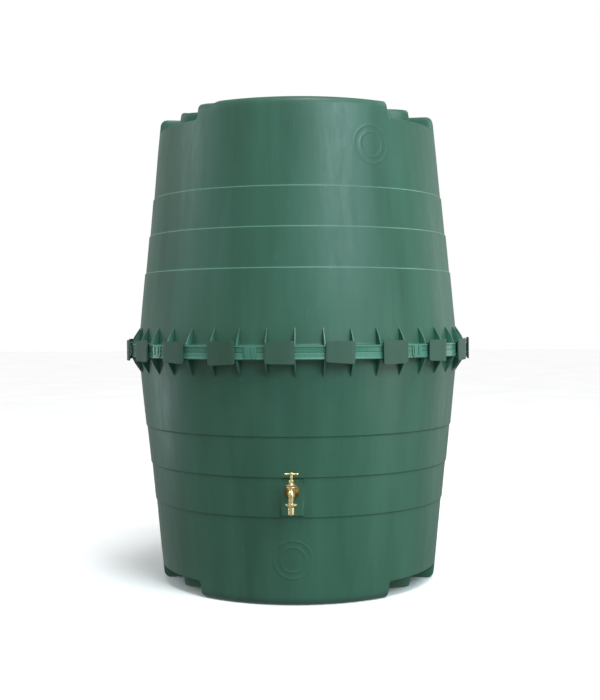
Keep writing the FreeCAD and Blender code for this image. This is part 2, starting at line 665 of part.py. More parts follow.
def make_hose_union():
    """Union nut, washer and hose tail under the spout."""
    turned_part("hose_washer", [
        ("hose_washer_bore", "hose_washer_foot"), ("hose_washer_radius", "hose_washer_foot"),
        ("hose_washer_radius", "spout_end"), ("hose_washer_bore", "spout_end")], **AT_SPOUT)
    turned_part("hose_tail", [
        ("tail_bore", "tail_end"), ("tail_radius - tail_lead", "tail_end"),
        ("tail_radius", "tail_end + tail_lead_rise"),
        ("tail_radius", "tail_neck"), ("tail_neck_radius", "tail_neck"),
        ("tail_neck_radius", "tail_collar_foot"), ("tail_collar_radius", "tail_collar_foot"),
        ("tail_collar_radius", "hose_washer_foot"), ("tail_bore", "hose_washer_foot")], **AT_SPOUT)
    turned_part("union_nut", [
        ("nut_bore", "nut_top"), ("nut_radius - overlap", "nut_top"), ("nut_radius", "nut_top - overlap"),
        ("nut_radius", "nut_top - nut_band"), ("nut_foot_radius", "nut_foot"),
        ("nut_lip", "nut_foot"), ("nut_lip", "nut_seat"), ("nut_bore", "nut_seat")], **AT_SPOUT)


# --------------------------------------------------------------------------
# Build, check and write
# --------------------------------------------------------------------------
def build():
    make_lower_shell()
    make_upper_shell()
    make_seal()
    for number in range(int(SIZES["clip_count"])):
        make_clip(number)
    make_lid()
    make_lid_gasket()
    make_inlet_hardware()
    make_tap_body()
    make_headwork()
    make_valve()
    make_handle()
    make_hose_union()
    DOC.recompute()


def check():
    """Stop if any object failed or any sub-part is not one valid solid."""
    for item in DOC.Objects:
        if "Invalid" in item.State or "Error" in item.State:
            raise RuntimeError(f"{item.Label} failed: {item.State}")
    for part in PARTS:
        shape = part.Shape
        if shape.isNull() or not shape.isValid() or len(shape.Solids) != 1:
            raise RuntimeError(f"{part.Label} is not one valid solid")


def export():
    os.makedirs("parts", exist_ok=True)
    for part in PARTS:
        part.Shape.exportStep(f"parts/{part.Label}.step")
        box = part.Shape.BoundBox
        print(f"{part.Label:14s} volume {part.Shape.Volume:12.0f}  "
              f"z {box.ZMin:8.2f} .. {box.ZMax:8.2f}")


build()
check()
export()
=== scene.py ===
import math

import bmesh
import bpy
import numpy as np
from mathutils import Matrix, Vector


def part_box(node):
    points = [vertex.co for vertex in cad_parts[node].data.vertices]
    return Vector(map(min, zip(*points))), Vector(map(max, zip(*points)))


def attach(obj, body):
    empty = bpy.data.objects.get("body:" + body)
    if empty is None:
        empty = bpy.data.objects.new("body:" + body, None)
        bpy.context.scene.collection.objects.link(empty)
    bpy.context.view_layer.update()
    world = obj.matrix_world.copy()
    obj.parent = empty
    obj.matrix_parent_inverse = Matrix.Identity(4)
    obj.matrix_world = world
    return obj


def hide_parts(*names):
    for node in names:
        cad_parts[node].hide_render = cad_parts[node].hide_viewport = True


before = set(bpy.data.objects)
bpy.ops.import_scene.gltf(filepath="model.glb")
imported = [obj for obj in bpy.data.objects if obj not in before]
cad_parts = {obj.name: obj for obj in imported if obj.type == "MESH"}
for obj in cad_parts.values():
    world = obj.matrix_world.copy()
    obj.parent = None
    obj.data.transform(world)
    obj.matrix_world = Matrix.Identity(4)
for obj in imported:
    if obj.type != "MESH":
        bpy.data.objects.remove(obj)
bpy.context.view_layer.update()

# In metres: the flanges' seam, the tap's inlet level, and the axes of its valve and spout.
MM = 0.001
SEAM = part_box("upper_shell")[1].z / 2
TAP_LEVEL = SEAM - 0.431
VALVE_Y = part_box("valve_washer")[0].y + 0.008
SPOUT_Y = (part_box("hose_tail")[0].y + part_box("hose_tail")[1].y) / 2

# From here on in millimetres and degrees. An azimuth of 0 faces the front, and a shell's heights
# count from the seam towards its own end, so both shells share one profile.
SEAM_MM = SEAM / MM
SEAM_RADIUS = 560.0
TAPER = 0.095
RINGS = (260.0, 388.0, 515.0)
RING_STEP = 3.0
LEDGE_RISE = 3.6
THICK = 6.0
WALL_TOP = 735.0
DECK = 745.0
CREST = 800.0
CREST_ROUND = 24.0
CROWN_ROOT = 330.0

# Blocks of the crown and the feet: half widths in azimuth, then the set-back blocks' outline.
FRONT_HALF, RING_HALF, SIDE_HALF = 41.0, 62.5, 10.8
DRAFT = 1.5
BLOCK_FRONT, BLOCK_SIDE, BLOCK_NEAR, BLOCK_CORNER = 250.0, 408.0, 376.0, 6.0
BLOCK_ENDS = (47, 61)

# The upper shell's crest: how much lower all but the front and back blocks are, then the front
# block's dip on the left with a lower end beyond it, out to DIP_REACH.
CROWN_DROP = 3.0
DIP_AZIMUTH, DIP_DEPTH, DIP_WIDTH, DIP_END_DROP, DIP_REACH = -32.5, 4.5, 1.6, 2.6, 60

# The flat seat of the tap: distance from the axis, half width, lower and upper edge, and the
# widths over which its sides and its lower and upper edges blend into the wall.
SEAT_REACH, SEAT_HALF, SEAT_LOW, SEAT_HIGH = 512.5, 36.5, 390.5, 511.5
SEAT_SIDE_BLEND, SEAT_EDGE_BLEND = 2.4, 3
SEAT_ROWS = {392, 394.5, 397, 503, 506, 508, 510, 512, 514}

# The two plain circles moulded on each shell.
MARK_LEVEL, MARK_RADII, MARK_WIDTH, MARK_RELIEF = 652.0, (61.0, 40.0), 3.0, 1.1
MARK_WALL_RADIUS = 490
LOWER_MARK, UPPER_MARK = 0.0, 31.0

# Painted light towards the flange's edge: a paler tone in place of the light from above on the
# flange, its tabs and the gussets' outer parts, with glossier plastic there (start and end in
# metres); and painted highlights on the ring ledges, each this share of its rise up and down from
# its middle.
RIM_START, RIM_END, RIM_LIGHT_SHARE, RIM_ROUGH = 0.560, 0.582, 0.8, 0.24
# Pale tone painted on the upper ring ledges as a highlight, in place of their glint of light from
# above.
LEDGE_HIGHLIGHT_TONE = (0.072, 0.185, 0.138)
LEDGE_HIGHLIGHT_SHARE = 0.35


# ---------------------------------------------------------------- materials
def nodes_of(name):
    """A new material, its node tree and its shader."""
    material = bpy.data.materials.new(name)
    material.use_nodes = True
    tree = material.node_tree
    return material, tree, tree.nodes["Principled BSDF"]


def feed(tree, socket, value):
    """Link a socket to an input, or set the input to a constant."""
    if isinstance(value, bpy.types.NodeSocket):
        tree.links.new(value, socket)
    else:
        socket.default_value = value


def object_coords(tree):
    return tree.nodes.new("ShaderNodeTexCoord").outputs["Object"]


def noise(tree, scale, detail=4.0, rough=0.55, stretch=(1, 1, 1)):
    """Noise over object coordinates, stretched along the axes; returns its factor socket."""
    mapping = tree.nodes.new("ShaderNodeMapping")
    mapping.inputs["Scale"].default_value = stretch
    tree.links.new(object_coords(tree), mapping.inputs["Vector"])
    texture = tree.nodes.new("ShaderNodeTexNoise")
    for name, value in (("Scale", scale), ("Detail", detail), ("Roughness", rough),
                        ("Vector", mapping.outputs["Vector"])):
        feed(tree, texture.inputs[name], value)
    return texture.outputs["Fac"]


def ramp(tree, source, stops):
    """Colour socket of a ramp with (place, colour) stops."""
    node = tree.nodes.new("ShaderNodeValToRGB")
    elements = node.color_ramp.elements
    while len(elements) < len(stops):
        elements.new(0.5)
    for element, (place, colour) in zip(elements, stops):
        element.position = place
        element.color = (*colour, 1)
    tree.links.new(source, node.inputs["Fac"])
    return node.outputs["Color"]


def grey(value):
    return (value, value, value)


def mixed(tree, kind, factor, first, second):
    """Colour socket that blends two colours, each a socket or a constant."""
    node = tree.nodes.new("ShaderNodeMix")
    node.data_type = "RGBA"
    node.blend_type = kind
    sockets = {s.identifier: s for s in node.inputs}
    for name, value in (("Factor_Float", factor), ("A_Color", first), ("B_Color", second)):
        feed(tree, sockets[name], value)
    return next(s for s in node.outputs if s.identifier == "Result_Color")


def bump(tree, shader, layers):
    """Chain of bump nodes: (height socket, distance in metres, strength)."""
    last = None
    for height, distance, strength in layers:
        node = tree.nodes.new("ShaderNodeBump")
        node.inputs["Distance"].default_value = distance
        node.inputs["Strength"].default_value = strength
        tree.links.new(height, node.inputs["Height"])
        if last is not None:
            tree.links.new(last, node.inputs["Normal"])
        last = node.outputs["Normal"]
    tree.links.new(last, shader.inputs["Normal"])


def calculated(tree, kind, operation, *operands):
    """A math node of this kind, its operands sockets or constants."""
    node = tree.nodes.new(kind)
    node.operation = operation
    for place, value in enumerate(operands):
        feed(tree, node.inputs[place], value)
    return node


def map_range(tree, value, start=0.0, end=1.0, low=0.0, high=1.0):
    """Socket that maps start..end onto low..high and clamps it."""
    node = tree.nodes.new("ShaderNodeMapRange")
    for name, given in (("Value", value), ("From Min", start), ("From Max", end),
                        ("To Min", low), ("To Max", high)):
        feed(tree, node.inputs[name], given)
    return node.outputs["Result"]


def towards_rim(tree):
    """Factor socket that grows from 0 to RIM_LIGHT_SHARE with the distance from the tank's axis."""
    # The mask of the painted light on the flange, its tabs and the gussets' outer parts.
    flat = calculated(tree, "ShaderNodeVectorMath", "MULTIPLY", object_coords(tree), (1, 1, 0))
    reach = calculated(tree, "ShaderNodeVectorMath", "LENGTH", flat.outputs["Vector"])
    return map_range(tree, reach.outputs["Value"], RIM_START, RIM_END, 0.0, RIM_LIGHT_SHARE)


def painted_ledge_highlights(tree):
    """Factor socket of the painted highlights: 1 on the upper shell's ring ledges, 0 elsewhere."""
    split = tree.nodes.new("ShaderNodeSeparateXYZ")
    tree.links.new(object_coords(tree), split.inputs["Vector"])
    total = None
    for ring in RINGS:
        near = calculated(tree, "ShaderNodeMath", "COMPARE", split.outputs["Z"],
                          SEAM + (ring + LEDGE_RISE / 2) * MM,
                          LEDGE_HIGHLIGHT_SHARE * LEDGE_RISE * MM).outputs["Value"]
        if total is None:
            total = near
        else:
            total = calculated(tree, "ShaderNodeMath", "MAXIMUM", total, near).outputs["Value"]
    return total


def plastic(name, deep, pale, rough, streak, specular=0.5, rim=None):
    """Moulded polyethylene: vertical flow streaks, cloudy patches, fine grain and scuffs.

    With a rim colour it turns to it towards the flange's edge as painted light, and its ring
    ledges get a painted highlight.
    """
    material, tree, shader = nodes_of(name)
    flow = noise(tree, 9.0, 5.0, 0.6, (1, 1, 0.06))
    cloud = noise(tree, 1.7, 3.0, 0.5, (1, 1, 0.45))
    speck = noise(tree, 260.0, 3.0, 0.7)
    scuff = noise(tree, 34.0, 6.0, 0.75, (1, 1, 0.25))
    waves = noise(tree, 3.2, 3.0, 0.5, (1, 1, 0.3))
    middle = tuple((a + b) / 2 for a, b in zip(deep, pale))
    base = ramp(tree, flow, [(0.30, deep), (0.5, middle), (0.72, pale)])
    patch = ramp(tree, cloud, [(0.3, grey(0.86)), (0.7, grey(1.12))])
    base = mixed(tree, "MULTIPLY", streak, base, patch)
    grain = ramp(tree, speck, [(0.35, grey(0.93)), (0.65, grey(1.05))])
    base = mixed(tree, "MULTIPLY", 0.6, base, grain)
    worn = ramp(tree, scuff, [(0.62, grey(0)), (0.80, grey(1))])
    base = mixed(tree, "MIX", worn, base, (pale[0] * 1.25, pale[1] * 1.15, pale[2] * 1.2, 1))
    gloss = ramp(tree, scuff, [(0.3, grey(rough - 0.06)), (0.75, grey(rough + 0.12))])
    if rim is not None:
        # Painted light: the paler rim colour stands in for light from above on the flange's edge.
        rim_light = towards_rim(tree)
        base = mixed(tree, "MIX", rim_light, base, (*rim, 1))
        gloss = mixed(tree, "MIX", rim_light, gloss, (*grey(RIM_ROUGH), 1))
        # Painted highlight: the upper ring ledges turn pale, standing in for their glint of light
        # from above.
        base = mixed(tree, "MIX", painted_ledge_highlights(tree), base, (*LEDGE_HIGHLIGHT_TONE, 1))
    tree.links.new(base, shader.inputs["Base Color"])
    tree.links.new(gloss, shader.inputs["Roughness"])
    shader.inputs["Specular IOR Level"].default_value = specular
    bump(tree, shader, [(waves, 0.004, 0.35), (flow, 0.0012, 0.30), (speck, 0.00025, 0.35)])
    return material


def metal(name, deep, pale, rough, cast):
    """Brass: cloudy tone, tarnish in patches, fine cast or turned texture."""
    material, tree, shader = nodes_of(name)
    cloud = noise(tree, 70.0, 4.0, 0.55)
    stain = noise(tree, 160.0, 6.0, 0.7)
    fine = noise(tree, 1600.0, 3.0, 0.6)
    base = ramp(tree, cloud, [(0.32, deep), (0.62, pale)])
    tarnish = ramp(tree, stain, [(0.55, grey(0)), (0.75, grey(0.55))])
    base = mixed(tree, "MIX", tarnish, base, (deep[0] * 0.6, deep[1] * 0.5, deep[2] * 0.45, 1))
    tree.links.new(base, shader.inputs["Base Color"])
    gloss = ramp(tree, stain, [(0.3, grey(rough)), (0.75, grey(rough + 0.2))])
    tree.links.new(gloss, shader.inputs["Roughness"])
    shader.inputs["Metallic"].default_value = 1.0
    bump(tree, shader, [(cloud, 0.0006, cast), (fine, 0.00006, 0.4)])
    return material


def matte(name, deep, pale, rough, scale):
    """Rubber or pressed fibre: mottled, faintly rough all over."""
    material, tree, shader = nodes_of(name)
    mottle = noise(tree, scale, 5.0, 0.65)
    fine = noise(tree, scale * 9, 3.0, 0.6)
    tree.links.new(ramp(tree, mottle, [(0.3, deep), (0.7, pale)]), shader.inputs["Base Color"])
    gloss = ramp(tree, fine, [(0.3, grey(rough - 0.08)), (0.7, grey(rough + 0.08))])
    tree.links.new(gloss, shader.inputs["Roughness"])
    bump(tree, shader, [(mottle, 0.0004, 0.5), (fine, 0.00012, 0.5)])
    return material


# The shell's last colour is painted light: a paler tone towards the flange's edge in place of the
# light from above.
SHELL = plastic("shell_plastic", (0.0205, 0.081, 0.051), (0.035, 0.117, 0.079), 0.40, 0.8, 0.38,
                (0.062, 0.200, 0.145))
CLIP = plastic("clip_plastic", (0.026, 0.070, 0.047), (0.040, 0.094, 0.066), 0.55, 0.5, 0.35)
LID = plastic("lid_plastic", (0.018, 0.078, 0.047), (0.030, 0.112, 0.071), 0.42, 0.7)
BRASS = metal("cast_brass", (0.62, 0.46, 0.17), (0.90, 0.75, 0.40), 0.20, 0.5)
BRIGHT = metal("turned_brass", (0.72, 0.58, 0.26), (0.92, 0.82, 0.48), 0.16, 0.2)
# The rosette's brass is painted dark: painted shade for the shadow it sits in behind the tap.
ROSETTE_SHADE_BRASS = metal("rosette_brass_painted_shade", (0.18, 0.085, 0.012), (0.34, 0.17, 0.03), 0.32, 0.3)
RUBBER = matte("black_rubber", (0.012, 0.012, 0.013), (0.024, 0.024, 0.025), 0.62, 220.0)
FIBRE = matte("brown_fibre", (0.11, 0.050, 0.030), (0.18, 0.085, 0.050), 0.75, 320.0)


# ---------------------------------------------------------------- mesh helpers
def placed(name, data):
    """A new object in the scene."""
    made = bpy.data.objects.new(name, data)
    bpy.context.scene.collection.objects.link(made)
    return made


def closed_mesh(name, vertices, faces):
    """Mesh data from vertices in millimetres, its faces turned outwards."""
    mesh = bpy.data.meshes.new(name)
    mesh.from_pydata([tuple(v) for v in np.asarray(vertices) * MM], [], faces)
    build = bmesh.new()
    build.from_mesh(mesh)
    bmesh.ops.remove_doubles(build, verts=build.verts, dist=1e-7)
    bmesh.ops.recalc_face_normals(build, faces=build.faces)
    build.to_mesh(mesh)
    build.free()
    return mesh


def mesh_object(name, vertices, faces, material, body, replaced=(), slot=None, sharp=35.0):
    """A visible piece that rides a body and may stand in for CAD nodes."""
    mesh = closed_mesh(name, vertices, faces)
    mesh.shade_smooth()
    mesh.set_sharp_from_angle(angle=math.radians(sharp))
    mesh.materials.append(material)
    piece = placed(name, mesh)
    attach(piece, body)
    if replaced:
        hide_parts(*replaced)
    return piece


def apply_modifiers(piece):
    graph = bpy.context.evaluated_depsgraph_get()
    graph.update()
    made = bpy.data.meshes.new_from_object(piece.evaluated_get(graph))
    piece.modifiers.clear()
    piece.data = made


def bevelled(piece, width, segments=2, angle=35.0, sharp=50):
    """Bevel the edges that are sharper than an angle."""
    modifier = piece.modifiers.new("edges", "BEVEL")
    modifier.width = width * MM
    modifier.segments = segments
    modifier.limit_method = "ANGLE"
    modifier.angle_limit = math.radians(angle)
    modifier.harden_normals = False
    apply_modifiers(piece)
    piece.data.shade_smooth()
    piece.data.set_sharp_from_angle(angle=math.radians(sharp))


def blended(piece, voxel, rounds):
    """Melt overlapping bodies into one casting with soft inside corners."""
    modifier = piece.modifiers.new("skin", "REMESH")
    modifier.mode = "VOXEL"
    modifier.voxel_size = voxel * MM
    modifier = piece.modifiers.new("soften", "SMOOTH")
    modifier.factor = 0.5
    modifier.iterations = rounds
    apply_modifiers(piece)
    piece.data.shade_smooth()


def carved(piece, vertices, faces):
    """Cut a cavity out of a casting."""
    mesh = closed_mesh("cutter", vertices, faces)
    cutter = placed("cutter", mesh)
    modifier = piece.modifiers.new("cavity", "BOOLEAN")
    modifier.operation = "DIFFERENCE"
    modifier.solver = "EXACT"
    modifier.object = cutter
    apply_modifiers(piece)
    bpy.data.objects.remove(cutter)
    bpy.data.meshes.remove(mesh)


def grid_faces(rows, columns, wrap_rows, wrap_columns, start=0):
    """Quads over a grid whose vertex number is start + row * columns + column."""
    faces = []
    for row in range(rows if wrap_rows else rows - 1):
        under = start + row * columns
        over = start + ((row + 1) % rows) * columns
        for column in range(columns if wrap_columns else columns - 1):
            right = (column + 1) % columns
            faces.append((under + column, under + right, over + right, over + column))
    return faces


def fan_faces(row, columns, tip):
    """Triangles from one row of a grid to a tip."""
    base = row * columns
    return [(base + c, base + (c + 1) % columns, tip) for c in range(columns)]


def turned(profile, columns=72, shape=None, poles=(True, True)):
    """Closed body turned about Z from (radius, height) pairs, with its first and last pair
    closed to a pole each, or joined to each other as a ring where there are no poles.

    shape(turn, reach, height) may reshape a ring's radii.
    """
    turn = np.arange(columns) * 2 * math.pi / columns
    rings = []
    for radius, height in profile:
        reach = np.full(columns, float(radius))
        if shape is not None:
            reach = shape(turn, reach, height)
        rings.append(np.stack([reach * np.sin(turn), -reach * np.cos(turn),
                               np.full(columns, float(height))], axis=1))
    vertices = np.concatenate(rings)
    faces = grid_faces(len(profile), columns, not any(poles), True)
    for wanted, row in ((poles[0], 0), (poles[1], len(profile) - 1)):
        if wanted:
            faces += fan_faces(row, columns, len(vertices))
            vertices = np.concatenate([vertices, [[0, 0, profile[row][1]]]])
    return vertices, faces


def swept(path, radii, columns=28):
    """Round bar along points of the YZ plane, with a radius at each."""
    points = np.array(path, float)
    side = np.array([1.0, 0, 0])
    vertices = []
    for index, point in enumerate(points):
        before, after = points[max(0, index - 1)], points[min(len(points) - 1, index + 1)]
        heading = (after - before) / np.linalg.norm(after - before)
        up = np.cross(heading, side)
        for turn in np.arange(columns) * 2 * math.pi / columns:
            vertices.append(point + radii[index] * (math.cos(turn) * side + math.sin(turn) * up))
    count = len(points)
    faces = grid_faces(count, columns, False, True)
    for row in (0, count - 1):
        faces += fan_faces(row, columns, len(vertices))
        vertices.append(points[row])
    return np.array(vertices), faces


def merged(bodies):
    """Several (vertices, faces) pairs as one."""
    vertices, faces, count = [], [], 0
    for points, quads in bodies:
        vertices.append(np.asarray(points, float))
        faces += [tuple(i + count for i in quad) for quad in quads]
        count += len(points)
    return np.concatenate(vertices), faces


def moved(body, offset):
    return np.asarray(body[0]) + np.array(offset, float), body[1]


def rotated(body, axis, degrees):
    matrix = np.array(Matrix.Rotation(math.radians(degrees), 3, axis))
    return np.asarray(body[0]) @ matrix.T, body[1]


def smooth_step(t):
    t = np.clip(t, 0, 1)
    return t * t * (3 - 2 * t)


def wrapped(azimuth):
    """The same azimuth from -180 up to 180."""
    return (azimuth + 180) % 360 - 180


def spaced(values, least):
    """The values in order, without those that come too soon after the one before."""
    kept = []
    for value in sorted(values):
        if not kept or value - kept[-1] > least:
            kept.append(value)
    return np.array(kept)


def plate(azimuth, half_width, low, high, inner, outer, corner, skew=0.0, flare=0.0, columns=9):
    """Plate curved about the tank's axis, with rounded corners; its heights are from the seam.

    Skew turns it by degrees; flare makes it taller by this much at its right side.
    """
    middle, half = (low + high) / 2, (high - low) / 2
    lift = [math.sin(math.radians(a)) for a in (0, 22.5, 45, 67.5, 90)]
    rows = [-half + corner * (1 - s) for s in reversed(lift)]
    rows += list(np.linspace(-half + corner, half - corner, 6)[1:-1])
    rows += [half - corner * (1 - s) for s in lift]
    turn = math.radians(skew)
    vertices = []
    for radius in (inner, outer):
        for row in rows:
            over = max(0.0, abs(row) - (half - corner))
            width = half_width - corner + math.sqrt(max(0.0, corner * corner - over * over))
            for column in np.linspace(-1, 1, columns):
                across = column * width
                up = row * (1 + flare / half * (column - 1) / 2)
                across, up = (across * math.cos(turn) - up * math.sin(turn),
                              across * math.sin(turn) + up * math.cos(turn))
                angle = math.radians(azimuth) + across / outer
                vertices.append((radius * math.sin(angle), -radius * math.cos(angle),
                                 SEAM_MM + middle + up))
    count = len(rows)
    back = count * columns
    faces = grid_faces(count, columns, False, False)
    faces += grid_faces(count, columns, False, False, start=back)
    rim = [c for c in range(columns)]
    rim += [r * columns + columns - 1 for r in range(1, count)]
    rim += [(count - 1) * columns + c for c in range(columns - 2, -1, -1)]
    rim += [r * columns for r in range(count - 2, 0, -1)]
    for a, b in zip(rim, rim[1:] + rim[:1]):
        faces.append((a, b, back + b, back + a))
    return np.array(vertices), faces


# ---------------------------------------------------------------- shells
def wall_radius(height):
    """Outer radius of the tapering wall, which steps in at each ring."""
    reach = SEAM_RADIUS - TAPER * height
    for ring in RINGS:
        reach -= RING_STEP * float(smooth_step((height - ring) / LEDGE_RISE))
    return reach


def block_face(azimuth):
    """Radius of the set-back block's outline: flat to the front, rounded at its corners."""
    turn = math.radians(azimuth)
    ahead, across = abs(math.cos(turn)) / BLOCK_FRONT, abs(math.sin(turn)) / BLOCK_SIDE
    outline = (ahead ** BLOCK_CORNER + across ** BLOCK_CORNER) ** (-1 / BLOCK_CORNER)
    return max(BLOCK_NEAR, outline)


def end_profiles(inset, face):
    """Matching (radius, height) rows for a flush block, a set-back block and the open deck.

    They start at the wall's top and end on the deck inside the ring; inset moves them in for
    the wall's inner face.
    """
    def wall(height):
        return wall_radius(height) - inset

    top, deck, face, root = CREST - inset, DECK - inset, face - inset, CROWN_ROOT + inset
    inner_side = [(root + 20, top), (root + 8, top - 2), (root + 1.5, top - 9), (root, top - 20),
                  (root - 1, deck + 7), (root - 4, deck + 2), (root - 12, deck), (250, deck)]

    turn_in = CREST - CREST_ROUND
    centre, bend = wall_radius(turn_in) - CREST_ROUND, CREST_ROUND - inset
    flush = [(wall(height), height) for height in (WALL_TOP, 740, 750, 763, turn_in)]
    flush += [(centre + bend * math.cos(math.radians(a)),
               turn_in + bend * math.sin(math.radians(a))) for a in (22.5, 45, 67.5, 90)]
    flush += [(430, top), (400, top), (370, top)] + inner_side

    edge = wall(DECK)
    shoulder = [(wall(WALL_TOP), WALL_TOP), (edge, deck - 1), (edge - 1.5, deck)]
    raised = [(face + 5, deck), (face + 1.5, deck + 0.5), (face + 0.3, deck + 2),
              (face, deck + 6), (face, deck + 25), (face, top - 12), (face - 1.5, top - 5),
              (face - 6, top - 1), (face - 14, top)] + inner_side
    back = shoulder + raised
    flat = shoulder + [(radius, deck) for radius, _ in raised]
    return np.array(flush), np.array(back), np.array(flat)


def block_weights(azimuth):
    """How far an azimuth belongs to a block at all and to its flush part (0 to 1)."""
    ring = flush = 0.0
    for face in (0, 180):
        off = abs(wrapped(azimuth - face))
        ring = max(ring, float(smooth_step((RING_HALF - off) / DRAFT)))
        flush = max(flush, float(smooth_step((FRONT_HALF - off) / DRAFT)))
    off = min(abs(wrapped(azimuth - 90)), abs(wrapped(azimuth + 90)))
    side = float(smooth_step((SIDE_HALF - off) / DRAFT))
    return max(ring, side), max(flush, side)


def crest_drop(azimuth):
    """How much lower than the front crest the upper shell's blocks end."""
    off = min(abs(azimuth), 180 - abs(azimuth))
    drop = CROWN_DROP * float(smooth_step((off - FRONT_HALF + 0.6) / 1.2))
    if abs(azimuth) < DIP_REACH:
        drop += DIP_DEPTH * math.exp(-((azimuth - DIP_AZIMUTH) / DIP_WIDTH) ** 2)
        drop += DIP_END_DROP * float(smooth_step((DIP_AZIMUTH - azimuth) / 2))
    return drop


def azimuth_samples(mark):
    """Azimuths: even steps, closer at the blocks' flanks and ends and at the moulded mark."""
    values = set(np.round(np.arange(-180, 180, 1.8), 3))
    flanks = [face + side * SIDE_HALF for face in (90, -90) for side in (1, -1)]
    for face in (0, 180):
        flanks += [face + side * half for half in (RING_HALF, FRONT_HALF) for side in (1, -1)]
        for half in np.arange(*BLOCK_ENDS, 0.7):
            values |= {round(wrapped(face + side), 3) for side in (half, -half)}
    for flank in flanks:
        for step in (0.0, 0.25, 0.5, 0.75, 1.0, 1.3, 1.6):
            values |= {round(wrapped(flank + step), 3), round(wrapped(flank - step), 3)}
    values |= set(np.round(np.arange(mark - 8.4, mark + 8.41, 0.3), 3))
    return spaced(values, 0.12)


def wall_heights():
    """Heights of the wall's rows: even steps, closer at the rings, the mark and the tap's seat."""
    heights = set(np.arange(30, WALL_TOP, 18.0)) | SEAT_ROWS
    for ring in RINGS:
        heights |= {ring + rise for rise in (-4, -1, 0, 0.7, 1.4, 2.1, 2.8, LEDGE_RISE, 7)}
    heights |= set(np.arange(MARK_LEVEL - 66, MARK_LEVEL + 67, 2.6))
    return spaced(heights, 0.5)


# (radius, height) rows: the flange with its seal groove, the filler neck, the base outside and
# inside, and the heights of the wall's inner face
FLANGE = [(567.5, 0), (567.5, 3.5), (574.5, 3.5), (574.5, 0), (585.6, 0), (586.7, 0.9),
          (587, 2.2), (587, 14.5), (587.3, 15.6), (588.4, 16.6), (588.8, 18.2), (588.4, 20.4),
          (586.6, 21.8), (584, 22), (572, 22), (563.5, 22), (560.2, 22.8), (558.2, 24.6),
          (557.6, 27)]
NECK = [(240, 745), (218, 745), (213, 746), (211, 750), (211, 771), (210.2, 772), (206, 772),
        (205, 771), (205, 739.5), (206, 739), (230, 739)]
BASE = [(240, 745), (214, 745), (208, 742.5), (196, 742.5), (190, 745), (120, 745), (40, 745)]
INNER_BASE = [(40, 739), (120, 739), (230, 739)]
INNER_ROWS = [735, 640, 519, 515, 450, 392, 388, 320, 264, 260, 180, 90, 0.0]


def marks(azimuth, height, centre):
    """Relief of the moulded circles, from 0 to 1, about a point of the wall."""
    across = np.radians(azimuth - centre) * MARK_WALL_RADIUS
    reach = np.hypot(across, height - MARK_LEVEL)
    return sum(np.exp(-((reach - radius) / MARK_WIDTH) ** 2) for radius in MARK_RADII)


def shell_mesh(side, mark, closed_end):
    """Wall, flange and end of one shell as a grid of profile rows by azimuths.

    Side is 1 for the upper shell and -1 for the lower one. The closed end has a base and the
    tap's seat; the other has the filler neck.
    """
    azimuths = azimuth_samples(mark)
    heights = wall_heights()
    count = len(azimuths)
    weights = [block_weights(a) for a in azimuths]

    def end(inset):
        columns = []
        for azimuth, (in_ring, in_front) in zip(azimuths, weights):
            flush, back, flat = end_profiles(inset, block_face(azimuth))
            columns.append(flat + in_ring * (back - flat) + in_front * (flush - back))
        grid = np.array(columns)
        return grid[:, :, 0].T, grid[:, :, 1].T

    def even(points):
        return tuple(np.repeat([[float(p[axis])] for p in points], count, axis=1)
                     for axis in (0, 1))

    wall = np.array([[wall_radius(h)] for h in heights]) + np.zeros((1, count))
    level = heights[:, None] + np.zeros((1, count))
    turn = np.radians(azimuths)[None]
    soft = smooth_step((level - 60) / 120) * smooth_step((WALL_TOP - level) / 60)
    warp = 0.55 * np.sin(3 * turn + level / 150) + 0.4 * np.sin(7 * turn - level / 95)
    wall = wall + soft * warp
    wall = wall + MARK_RELIEF * marks(azimuths[None], level, mark)
    if closed_end:
        # The tangent comes round again at the back, so the seat is kept to the front.
        near = (np.abs(azimuths) < 60)[None]
        across = np.abs(SEAT_REACH * np.tan(turn))
        pad = smooth_step((SEAT_HALF - across) / SEAT_SIDE_BLEND)
        pad = pad * smooth_step((level - SEAT_LOW) / SEAT_EDGE_BLEND)
        pad = pad * smooth_step((SEAT_HIGH - level) / SEAT_EDGE_BLEND) * near
        wall = wall + pad * (np.where(near, SEAT_REACH / np.cos(turn), wall) - wall)

    inner_end = end(THICK)
    outside = [even(FLANGE), (wall, level), end(0.0), even(BASE if closed_end else NECK)]
    inside = [even(INNER_BASE)] if closed_end else []
    inside += [(inner_end[0][::-1], inner_end[1][::-1]),
               even([(wall_radius(h) - THICK, h) for h in INNER_ROWS])]
    radius, height = (np.concatenate([part[axis] for part in outside + inside])
                      for axis in (0, 1))
    if not closed_end:
        crest = smooth_step((height - DECK) / 40)
        height = height - crest * np.array([crest_drop(a) for a in azimuths])[None]
    turn = turn + np.zeros_like(radius)
    vertices = np.stack([radius * np.sin(turn), -radius * np.cos(turn),
                         SEAM_MM + side * height], axis=2).reshape(-1, 3)
    total = len(radius)
    if not closed_end:
        return vertices, grid_faces(total, count, True, True)

    split = sum(len(part[0]) for part in outside)
    faces = grid_faces(split, count, False, True)
    faces += grid_faces(total - split, count, False, True, start=split * count)
    last = (total - 1) * count
    faces += [(last + c, last + (c + 1) % count, (c + 1) % count, c) for c in range(count)]
    for row in (split - 1, split):
        faces += fan_faces(row, count, len(vertices))
        vertices = np.concatenate([vertices, [[0, 0, SEAM_MM + side * height[row, 0]]]])
    return vertices, faces


